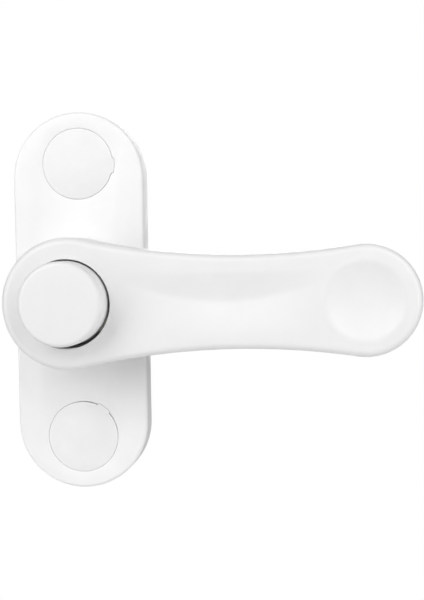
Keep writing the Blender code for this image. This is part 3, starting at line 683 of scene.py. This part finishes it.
def make_arm(finish):
    flats = prism(
        flatted_disc(LOCK_PLATE_RADIUS + GAP, LOCK_PLATE_FLATS + GAP),
        LOCK_PLATE_BOTTOM - 2 * GAP,
        LOCK_PLATE_TOP + GAP,
    )
    turns = [LOCK_ANGLE + math.tau * k / LOCK_COUNT for k in range(LOCK_COUNT)]
    holes = copies(
        prism(circle(LOCK_HOLE_RADIUS, 32), LOCK_PLATE_BOTTOM, WEB_TOP + PAST),
        [(LOCK_PITCH_RADIUS * math.cos(t), LOCK_PITCH_RADIUS * math.sin(t), t) for t in turns],
    )
    slot = [
        (SLOT_START, -SLOT_WIDTH / 2),
        (SLOT_RADIUS, -SLOT_WIDTH / 2),
        (SLOT_RADIUS, SLOT_WIDTH / 2),
        (SLOT_START, SLOT_WIDTH / 2),
    ]
    slots = copies(
        prism(slot, SLOT_FOOT, SLOT_TOP),
        [(0, 0, math.pi / 2 + math.tau * k / SLOT_COUNT) for k in range(SLOT_COUNT)],
    )
    recess = copies(
        prism(circle(PAD_RADIUS + GAP), BEAM_BOTTOM - PAST, BEAM_BOTTOM + PAD_RECESS),
        [(TIP_REACH, 0, 0)],
    )
    cuts = [flats, holes, slots, recess, *beam_cores()]
    slot_name = "white_moulding"
    return add_piece("arm_moulding", arm_shape(), finish, "arm", slot_name, "arm", cuts=cuts)


# Base, caps and backing


def cap_outline(margin, angle, play=0.0):
    """A cap's circle with its key tab, grown all round by the margin.

    The play is added to the circle on both sides of the tab, and dies away round it.
    """
    radius = CAP_RADIUS + margin
    far = radius + CAP_TAB_REACH
    half = math.asin((CAP_TAB_WIDTH / 2 + margin) / radius)
    first, last = angle - half * CAP_TAB_TAPER, angle + half * CAP_TAB_TAPER
    tab = corner_arc((0, 0), far, first, last, 8)
    rest = []
    for i in range(ROUND + 1):
        turn = half + (math.tau - 2 * half) * i / ROUND
        wide = min(turn, math.tau - turn) - half
        grown = radius + play * math.exp(-((wide / CAP_PLAY_ARC) ** 2))
        rest.append((grown * math.cos(angle + turn), grown * math.sin(angle + turn)))
    return tab + rest


def make_caps(finish):
    for side, (name, angle) in zip((1, -1), CAP_TABS.items()):
        shape = prism(cap_outline(0, angle), CAP_BOTTOM, FACE, CAP_ARRIS, 3)
        hollow = prism(
            circle(CAP_HOLLOW_RADIUS, SMALL_ROUND), CAP_BOTTOM - PAST, CAP_HOLLOW_TOP
        )
        at = (0.0, side * CAP_PLACE)
        slot = "white_moulding"
        node = f"{name}_screw_cap"
        add_piece(f"{name}_cap", shape, finish, "base", slot, node, at=at, cuts=[hollow])


def cap_recess(angle, play):
    """The hole a cap sits in; its mouth opens out by the width of the arris."""
    outline = cap_outline(CAP_SEAM, angle, play)
    mouth = inset(outline, -CAP_ARRIS)
    knee = 0.3 * CAP_ARRIS
    shape = bmesh.new()
    rings = [
        add_ring(shape, outline, CAP_BOTTOM - GAP),
        add_ring(shape, outline, FACE - CAP_ARRIS),
        add_ring(shape, inset(outline, -knee), FACE - knee),
        add_ring(shape, mouth, FACE),
        add_ring(shape, mouth, FACE + PAST),
    ]
    for lower, upper in zip(rings, rings[1:]):
        add_walls(shape, lower, upper)
    shape.faces.new(list(reversed(rings[0])))
    shape.faces.new(rings[-1])
    return shape


def screw_hole():
    bore = SCREW_RADIUS + 2 * GAP
    seat = FACE - SCREW_SEAT_DROP
    seat_radius = SCREW_HEAD_RADIUS + GAP + seat - (SCREW_HEAD_TOP - SCREW_RIM)
    neck = seat - (seat_radius - bore)
    profile = [(0, -PAST), (bore, -PAST), (bore, neck), (seat_radius, seat), (0, seat)]
    return turned(profile, SMALL_ROUND)


def make_base(finish):
    shape = prism(stadium(BASE_WIDTH, BASE_LENGTH), 0, FACE, BASE_EDGE, 8, BASE_FOOT_EDGE)
    backing = stadium(2 * (BACKING_HALF_WIDTH + GAP), BACKING_LENGTH + 2 * GAP)
    cuts = [prism(backing, -PAST, BACKING_TOP + GAP)]
    fixings = [(0, CAP_PLACE, 0), (0, -CAP_PLACE, 0)]
    cuts.append(copies(screw_hole(), fixings))
    for side, name in ((1, "upper"), (-1, "lower")):
        recess = cap_recess(CAP_TABS[name], CAP_PLAY[name])
        cuts.append(copies(recess, [(0, side * CAP_PLACE, 0)]))
    cuts.append(prism(circle(POCKET_RADIUS), POCKET_FLOOR, FACE + PAST))
    head = flatted_disc(STUD_HEAD_RADIUS + GAP, STUD_HEAD_FLATS + GAP, SMALL_ROUND)
    cuts.append(prism(head, 0, STUD_SEAT))
    stud_hole = circle(STUD_HOLE_RADIUS, SMALL_ROUND)
    cuts.append(prism(stud_hole, STUD_SEAT - 2 * GAP, FACE + PAST))
    slot = "white_moulding"
    add_piece("plate_moulding", shape, finish, "base", slot, "base_plate", cuts=cuts)
    turret = turned(
        [
            (POCKET_RADIUS, FACE + HAIR),
            (TURRET_RADIUS, FACE + HAIR),
            (TURRET_RADIUS, TURRET_TOP - TURRET_EDGE),
            (TURRET_RADIUS - TURRET_EDGE, TURRET_TOP),
            (POCKET_RADIUS, TURRET_TOP),
        ]
    )
    add_piece("turret_ring", turret, finish, "base", slot)
    boss = turned(
        [
            (STUD_HOLE_RADIUS, POCKET_FLOOR + HAIR),
            (BOSS_RADIUS, POCKET_FLOOR + HAIR),
            (BOSS_RADIUS, BOSS_TOP),
            (STUD_HOLE_RADIUS, BOSS_TOP),
        ],
        6,
    )
    add_piece("stud_boss", boss, finish, "base", slot)


def make_backing(finish):
    outline = stadium(2 * BACKING_HALF_WIDTH, BACKING_LENGTH)
    shape = prism(outline, 0, BACKING_TOP, BACKING_EDGE, 2, BACKING_FOOT_EDGE)
    hole = turned(
        [
            (0, -PAST),
            (SCREW_RADIUS + 3 * GAP, -PAST),
            (SCREW_RADIUS + 3 * GAP, 0),
            (SCREW_RADIUS + 2 * GAP, GAP),
            (SCREW_RADIUS + 2 * GAP, BACKING_TOP + PAST),
            (0, BACKING_TOP + PAST),
        ],
        48,
    )
    cuts = [copies(hole, [(0, CAP_PLACE, 0), (0, -CAP_PLACE, 0)])]
    slot = "zinc_plated_steel"
    add_piece("backing_sheet", shape, finish, "base", slot, "backing_plate", cuts=cuts)


# Screws


def thread_radius(below, around, to_point):
    """Radius of the threaded shank: below is the depth under its top, around is in turns."""
    crest = max(0.0, 1 - abs(((below / THREAD_PITCH - around) % 1.0) - 0.5) / THREAD_FLANK)
    fade = smooth(below, 0.0, THREAD_PITCH)
    slim = min(1.0, to_point / SCREW_TAPER)
    root = THREAD_ROOT * slim**TAPER_POWER
    tip = SCREW_RADIUS * min(1.0, slim * CREST_LEAD) ** TAPER_POWER
    radius = root + (tip - root) * crest * fade + (1 - fade) * THREAD_START_SWELL
    return max(radius, SCREW_BLUNTNESS)


def screw_shape():
    """A countersunk wood screw with one real helical thread running out into its point."""
    around = 36
    per_pitch = 12
    rim = SCREW_HEAD_TOP - SCREW_RIM
    neck = rim - (SCREW_HEAD_RADIUS - SCREW_RADIUS)
    start = neck - SCREW_SHANK
    rows = int((start - SCREW_POINT) / THREAD_PITCH * per_pitch)
    shape = bmesh.new()
    rings = [
        add_ring(shape, circle(radius, around), height)
        for radius, height in (
            (SCREW_HEAD_RADIUS, SCREW_HEAD_TOP),
            (SCREW_HEAD_RADIUS, rim),
            (SCREW_NECK_RADIUS, neck),
        )
    ]
    for row in range(rows + 1):
        height = start - (start - SCREW_POINT) * row / rows
        ring = []
        for i in range(around):
            angle = math.tau * i / around
            radius = thread_radius(start - height, i / around, height - SCREW_POINT)
            point = (radius * math.cos(angle), radius * math.sin(angle), height)
            ring.append(shape.verts.new(point))
        rings.append(ring)
    for upper, lower in zip(rings, rings[1:]):
        add_walls(shape, lower, upper)
    shape.faces.new(rings[0])
    shape.faces.new(list(reversed(rings[-1])))
    return shape


def cross_recess():
    """Two crossed bars, narrower at their foot."""
    far, side = RECESS_HALF_LENGTH, RECESS_HALF_WIDTH
    bars = []
    for angle in (math.pi / 4, 3 * math.pi / 4):
        outline = [(-far, -side), (far, -side), (far, side), (-far, side)]
        bar = prism(outline, SCREW_HEAD_TOP - RECESS_DEPTH, SCREW_HEAD_TOP + PAST)
        for vert in bar.verts:
            if vert.co.z < SCREW_HEAD_TOP:
                vert.co.x *= RECESS_FOOT[0]
                vert.co.y *= RECESS_FOOT[1]
        bars.append(copies(bar, [(0, 0, angle)]))
    return bars


def make_screws(finish):
    for name, side in (("upper", 1), ("lower", -1)):
        node = f"{name}_fixing_screw"
        at = (0.0, side * CAP_PLACE)
        slot = "zinc_plated_steel"
        cuts = cross_recess()
        add_piece(f"{name}_screw", screw_shape(), finish, "base", slot, node, at=at, cuts=cuts)


# Button, its coil and the pad


def make_button(finish):
    edge = corner_arc(
        (BUTTON_RADIUS - BUTTON_EDGE, BUTTON_TOP - BUTTON_EDGE), BUTTON_EDGE, 0, math.pi / 2, 8
    )
    edge = [(r, z - BUTTON_CROWN) for r, z in edge]
    flat = BUTTON_RADIUS - BUTTON_EDGE
    crown = [
        (flat * (1 - i / 6), BUTTON_TOP - BUTTON_CROWN * (1 - i / 6) ** 2) for i in range(1, 7)
    ]
    inner = BUTTON_RADIUS - BUTTON_WALL
    ceiling = BUTTON_TOP - BUTTON_ROOF
    profile = [
        (0, ceiling),
        (inner, ceiling),
        (inner, BUTTON_FOOT),
        (BUTTON_RADIUS - BUTTON_FOOT_EDGE, BUTTON_FOOT),
        (BUTTON_RADIUS, BUTTON_FOOT + BUTTON_FOOT_EDGE),
    ]
    shape = turned(profile + edge + crown, ROUND, closed=False)
    at = (0.0, BUTTON_PLAY)  # the button stands high in its well by its play
    slot = "white_moulding"
    add_piece("button_moulding", shape, finish, "button", slot, "button_cap", at=at)


def thick_strip(shape, left, right, thickness):
    """A closed strip of sheet between two rows of points, as thick as stated."""
    rows = []
    for i, (a, b) in enumerate(zip(left, right)):
        before, after = left[max(i - 1, 0)], left[min(i + 1, len(left) - 1)]
        up = (after - before).cross(b - a).normalized() * (thickness / 2)
        rows.append([shape.verts.new(point) for point in (a - up, a + up, b + up, b - up)])
    for before, after in zip(rows, rows[1:]):
        add_walls(shape, before, after)
    shape.faces.new(rows[0])
    shape.faces.new(list(reversed(rows[-1])))


def make_lock_spring(finish):
    """The ring round the boss, its rising fingers and their dogs, pressed by the button."""
    foot, dog_top = reach("lock_spring")
    level = foot + SPRING_SHEET / 2
    finger_top = TURRET_TOP + GAP
    inner = LOCK_PITCH_RADIUS - FINGER_HALF_WIDTH
    outer = LOCK_PITCH_RADIUS + FINGER_HALF_WIDTH

    def spot(radius, angle, height):
        return Vector((radius * math.cos(angle), radius * math.sin(angle), height))

    rim = inner - SPRING_SLIT
    bore = [(SPRING_BORE, level - SPRING_SHEET / 2), (SPRING_BORE, level + SPRING_SHEET / 2)]
    edge = [(rim, level + SPRING_SHEET / 2), (rim, level - SPRING_SHEET / 2)]
    shape = turned(bore + edge)
    for k in range(LOCK_COUNT):
        tip = LOCK_ANGLE + math.tau * k / LOCK_COUNT
        start = tip - FINGER_ARC
        root = [start - FINGER_ROOT * (1 - i / 4) for i in range(4)]
        neck = [spot(rim - SPRING_SLIT, turn, level) for turn in root]
        thick_strip(shape, neck, [spot(outer, turn, level) for turn in root], SPRING_SHEET)
        near = [spot(inner, root[-1] - FINGER_LAP, level)]
        far = [spot(outer, root[-1] - FINGER_LAP, level)]
        for i in range(25):
            share = i / 24
            height = level + (finger_top - level) * smooth(share, 0.0, 1.0)
            near.append(spot(inner, start + FINGER_ARC * share, height))
            far.append(spot(outer, start + FINGER_ARC * share, height))
        thick_strip(shape, near, far, SPRING_SHEET)
        ends = (finger_top - SPRING_SHEET / 2, dog_top)
        near = [spot(inner, tip, height) for height in ends]
        far = [spot(outer, tip, height) for height in ends]
        thick_strip(shape, near, far, SPRING_SHEET)
    slot = "spring_steel"
    spring = add_piece("lock_fingers", shape, finish, "base", slot, "lock_spring", sharp=40)
    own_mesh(spring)


def make_coil(finish):
    """The button's return spring, one rigid coil riding on the arm."""
    low = COIL_FOOT + COIL_WIRE / 2
    high = COIL_TOP - COIL_WIRE / 2
    radius = COIL_OUTER - COIL_WIRE / 2
    per_turn = 40
    closed = 1.1 * COIL_WIRE
    rise = (high - low - 2 * closed) / (COIL_TURNS - 2)
    shape = bmesh.new()
    rings = []
    for i in range(COIL_TURNS * per_turn + 1):
        turn = i / per_turn
        middle_turns = min(max(turn - 1, 0), COIL_TURNS - 2)
        height = low + closed * (turn - middle_turns) + rise * middle_turns
        angle = math.tau * turn
        out = Vector((math.cos(angle), math.sin(angle), 0))
        centre = out * radius + Vector((0, 0, height))
        rings.append(
            [
                shape.verts.new(
                    centre
                    + out * (COIL_WIRE / 2 * math.cos(t))
                    + Vector((0, 0, COIL_WIRE / 2 * math.sin(t)))
                )
                for t in (math.tau * k / 12 for k in range(12))
            ]
        )
    for before, after in zip(rings, rings[1:]):
        add_walls(shape, before, after)
    shape.faces.new(rings[0])
    shape.faces.new(list(reversed(rings[-1])))
    slot = "spring_steel"
    coil = add_piece("return_coil", shape, finish, "arm", slot, "button_spring", sharp=60)
    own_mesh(coil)


def make_pad(finish):
    edge_centre = (PAD_RADIUS - PAD_EDGE, PAD_BOTTOM + PAD_EDGE)
    profile = [
        (0, PAD_BOTTOM),
        (PAD_RADIUS - PAD_FLAT_MARGIN, PAD_BOTTOM),
        *corner_arc(edge_centre, PAD_EDGE, -math.pi / 2, 0, 8),
        (PAD_RADIUS, PAD_TOP),
        (0, PAD_TOP),
    ]
    shape = turned(profile)
    slot = "soft_pad"
    add_piece("pad_foot", shape, finish, "arm", slot, "pressure_pad", at=(TIP_REACH, 0.0))


# Materials


def node_material(name, colour, roughness, metallic=0.0):
    made = bpy.data.materials.new(name)
    made.use_nodes = True
    tree = made.node_tree
    shader = tree.nodes["Principled BSDF"]
    shader.inputs["Base Color"].default_value = (*colour, 1)
    shader.inputs["Roughness"].default_value = roughness
    shader.inputs["Metallic"].default_value = metallic
    return made, tree, shader


def noise(tree, scale, detail=4.0, rough=0.55, stretch=(1, 1, 1)):
    """Noise in object coordinates; scale is in cells per metre."""
    place = tree.nodes.new("ShaderNodeTexCoord")
    mapping = tree.nodes.new("ShaderNodeMapping")
    mapping.inputs["Scale"].default_value = stretch
    tree.links.new(place.outputs["Object"], mapping.inputs["Vector"])
    texture = tree.nodes.new("ShaderNodeTexNoise")
    texture.inputs["Scale"].default_value = scale
    texture.inputs["Detail"].default_value = detail
    texture.inputs["Roughness"].default_value = rough
    tree.links.new(mapping.outputs["Vector"], texture.inputs["Vector"])
    return texture.outputs["Fac"]


def spread(tree, value, low, high, start=0.3, end=0.7):
    """The noise value carried from start..end to low..high."""
    shift = tree.nodes.new("ShaderNodeMapRange")
    shift.inputs["From Min"].default_value = start
    shift.inputs["From Max"].default_value = end
    shift.inputs["To Min"].default_value = low
    shift.inputs["To Max"].default_value = high
    tree.links.new(value, shift.inputs["Value"])
    return shift.outputs["Result"]


def tint(tree, value, first, second):
    mix = tree.nodes.new("ShaderNodeMix")
    mix.data_type = "RGBA"
    mix.inputs["A"].default_value = (*first, 1)
    mix.inputs["B"].default_value = (*second, 1)
    tree.links.new(value, mix.inputs["Factor"])
    return mix.outputs["Result"]


def bump(tree, value, depth, strength=1.0, after=None):
    node = tree.nodes.new("ShaderNodeBump")
    node.inputs["Distance"].default_value = depth
    node.inputs["Strength"].default_value = strength
    tree.links.new(value, node.inputs["Height"])
    if after is not None:
        tree.links.new(after, node.inputs["Normal"])
    return node.outputs["Normal"]


def white_plastic(name, light, dark, roughness):
    """Moulded white nylon: faint flow mottling, fine grain and a satin surface."""
    made, tree, shader = node_material(name, light, roughness)
    link = tree.links.new
    mottle = spread(tree, noise(tree, 160, 3.0, 0.6), 0.0, 1.0)
    link(tint(tree, mottle, light, dark), shader.inputs["Base Color"])
    patches = noise(tree, 420, 4.0)
    link(spread(tree, patches, roughness - 0.05, roughness + 0.07), shader.inputs["Roughness"])
    grain = bump(tree, noise(tree, 5200, 2.0), 0.006 * MM, 0.35)
    sink = bump(tree, noise(tree, 260, 2.0), 0.02 * MM, 0.5, grain)
    link(sink, shader.inputs["Normal"])
    shader.inputs["IOR"].default_value = 1.5
    return made


def plated_steel(name, colour, dark, roughness, stretch, scale):
    """Metal with drawn or plated streaks, and duller patches."""
    made, tree, shader = node_material(name, colour, roughness, 1.0)
    link = tree.links.new
    streaks = noise(tree, scale, 6.0, 0.6, stretch)
    patches = noise(tree, 300, 3.0)
    link(tint(tree, spread(tree, patches, 0.0, 1.0), colour, dark), shader.inputs["Base Color"])
    link(spread(tree, streaks, roughness - 0.08, roughness + 0.12), shader.inputs["Roughness"])
    link(bump(tree, streaks, 0.01 * MM, 0.4), shader.inputs["Normal"])
    return made


def natural_acetal():
    made, tree, shader = node_material("natural_acetal_looks", (0.80, 0.79, 0.74), 0.42)
    link = tree.links.new
    cloud = spread(tree, noise(tree, 500, 3.0), 0.0, 1.0)
    link(tint(tree, cloud, (0.82, 0.81, 0.76), (0.76, 0.75, 0.69)), shader.inputs["Base Color"])
    link(spread(tree, noise(tree, 900), 0.36, 0.5), shader.inputs["Roughness"])
    link(bump(tree, noise(tree, 4000, 2.0), 0.006 * MM, 0.4), shader.inputs["Normal"])
    return made


def pad_rubber():
    """Closed-cell pad: grey, matt and finely pitted."""
    made, tree, shader = node_material("soft_pad_looks", (0.5, 0.5, 0.49), 0.8)
    link = tree.links.new
    cells = tree.nodes.new("ShaderNodeTexVoronoi")
    cells.inputs["Scale"].default_value = 3200
    place = tree.nodes.new("ShaderNodeTexCoord")
    link(place.outputs["Object"], cells.inputs["Vector"])
    shade = spread(tree, noise(tree, 700, 4.0), 0.0, 1.0)
    link(tint(tree, shade, (0.56, 0.56, 0.55), (0.44, 0.44, 0.43)), shader.inputs["Base Color"])
    link(spread(tree, cells.outputs["Distance"], 0.7, 0.9), shader.inputs["Roughness"])
    link(bump(tree, cells.outputs["Distance"], 0.05 * MM, 0.6), shader.inputs["Normal"])
    return made


def dress_nodes(finishes):
    """Give the CAD nodes that no piece replaces their finished materials."""
    for name, node in frame["nodes"].items():
        if node.hide_render:
            continue
        slot = next(
            part["material_slot"]
            for part in frame["record"]["subparts"]
            if part["node"] == name
        )
        node.data.materials.clear()
        node.data.materials.append(finishes[slot])


# Studio


def add_softbox(name, lean, clock, distance, width, power):
    """A square light: lean is its angle off the plate's axis, clock its angle from the top.

    The angles are in degrees and the distance and width in metres.
    """
    lean, clock = math.radians(lean), math.radians(clock)
    away = Vector(
        (
            math.sin(lean) * math.sin(clock),
            -math.cos(lean),
            math.sin(lean) * math.cos(clock),
        )
    )
    light = bpy.data.lights.new(name, "AREA")
    light.shape = "SQUARE"
    light.size = width
    light.energy = power
    lamp = bpy.data.objects.new(name, light)
    bpy.context.scene.collection.objects.link(lamp)
    lamp.location = LIGHT_FOCUS + away * distance
    lamp.rotation_euler = (-away).to_track_quat("-Z", "Y").to_euler()


def add_camera():
    """The camera stands a little to the right of the latch and above it, nearly level."""
    distance = 220.0 * MM
    azimuth = math.radians(6.35)
    elevation = math.radians(2.61)
    roll = math.radians(-0.98)
    target = Vector((24.65 * MM, 0.0, -0.34 * MM))
    focal_in_pixels = 1143.8
    long_side = 600
    back = Vector(
        (
            math.sin(azimuth) * math.cos(elevation),
            -math.cos(azimuth) * math.cos(elevation),
            math.sin(elevation),
        )
    )
    right = Vector((0, 0, 1)).cross(back).normalized()
    up = back.cross(right)
    turned_right = math.cos(roll) * right + math.sin(roll) * up
    turned_up = -math.sin(roll) * right + math.cos(roll) * up
    data = bpy.data.cameras.new("camera")
    data.sensor_width = 36.0  # in millimetres, as Blender states it
    data.lens = focal_in_pixels / long_side * data.sensor_width
    data.clip_start = 0.01
    camera = bpy.data.objects.new("camera", data)
    bpy.context.scene.collection.objects.link(camera)
    turn = Matrix((turned_right, turned_up, back)).transposed().to_4x4()
    camera.matrix_world = Matrix.Translation(target + back * distance) @ turn
    bpy.context.scene.camera = camera


def add_world(seen, given):
    """White behind the object, and an even surround light of its own strength."""
    world = bpy.data.worlds.new("studio")
    bpy.context.scene.world = world
    world.use_nodes = True
    tree = world.node_tree
    tree.nodes.clear()
    path = tree.nodes.new("ShaderNodeLightPath")
    backdrop = tree.nodes.new("ShaderNodeBackground")
    surround = tree.nodes.new("ShaderNodeBackground")
    mix = tree.nodes.new("ShaderNodeMixShader")
    out = tree.nodes.new("ShaderNodeOutputWorld")
    backdrop.inputs["Strength"].default_value = seen
    surround.inputs["Strength"].default_value = given
    for node in (backdrop, surround):
        node.inputs["Color"].default_value = (1, 1, 1, 1)
    tree.links.new(path.outputs["Is Camera Ray"], mix.inputs["Fac"])
    tree.links.new(surround.outputs["Background"], mix.inputs[1])
    tree.links.new(backdrop.outputs["Background"], mix.inputs[2])
    tree.links.new(mix.outputs["Shader"], out.inputs["Surface"])


def add_floor():
    """A round pale floor below the arm's lowest reach, and mostly in front of the latch."""
    shape = bmesh.new()
    ring = add_ring(shape, circle(FLOOR_RADIUS, 96, FLOOR_MIDDLE), FLOOR_LEVEL)
    shape.faces.new(ring)
    mesh = bpy.data.meshes.new("floor")
    shape.to_mesh(mesh)
    shape.free()
    floor = bpy.data.objects.new("floor", mesh)
    bpy.context.scene.collection.objects.link(floor)
    made, tree, shader = node_material("pale_floor", (0.86, 0.86, 0.86), 0.7)
    shade = spread(tree, noise(tree, 40, 2.0), 0.0, 1.0)
    pale = tint(tree, shade, (0.87, 0.87, 0.87), (0.85, 0.85, 0.85))
    tree.links.new(pale, shader.inputs["Base Color"])
    tree.links.new(pale, shader.inputs["Emission Color"])
    shader.inputs["Emission Strength"].default_value = FLOOR_GLOW
    floor.data.materials.append(made)


def set_up_studio():
    add_camera()
    add_world(1.0, SURROUND)
    add_floor()
    for name, *setting in SOFTBOXES:
        add_softbox(name, *setting)
    view = bpy.context.scene.view_settings
    view.view_transform = "Standard"
    view.look = "None"


def main():
    white = white_plastic("white_nylon", (0.87, 0.87, 0.87), (0.85, 0.85, 0.85), 0.4)
    # Painted light: the plate and the caps take brighter copies of the arm's white nylon, which
    # paint in light they seem to catch; all of them are the one white moulding.
    plate_painted_brighter_white = white_plastic("plate_nylon_painted_brighter", (0.94, 0.94, 0.94), (0.915, 0.915, 0.915), 0.46)
    cap_painted_brighter_white = white_plastic("cap_nylon_painted_brighter", (0.905, 0.905, 0.905), (0.865, 0.865, 0.865), 0.48)
    zinc = plated_steel(
        "zinc_plate_looks", (0.72, 0.73, 0.74), (0.6, 0.61, 0.63), 0.44, (1, 1, 0.05), 900
    )
    spring = plated_steel(
        "spring_steel_looks", (0.42, 0.42, 0.43), (0.3, 0.3, 0.32), 0.3, (1, 0.1, 1), 1500
    )
    brass = plated_steel(
        "brass_looks", (0.74, 0.58, 0.30), (0.62, 0.46, 0.22), 0.3, (0.05, 1, 0.05), 1200
    )
    make_base(plate_painted_brighter_white)
    make_caps(cap_painted_brighter_white)
    make_backing(zinc)
    make_screws(zinc)
    make_arm(white)
    make_button(white)
    make_coil(spring)
    make_lock_spring(spring)
    make_pad(pad_rubber())
    dress_nodes(
        {
            "zinc_plated_steel": zinc,
            "spring_steel": spring,
            "turned_brass": brass,
            "natural_acetal": natural_acetal(),
        }
    )
    set_up_studio()


main()
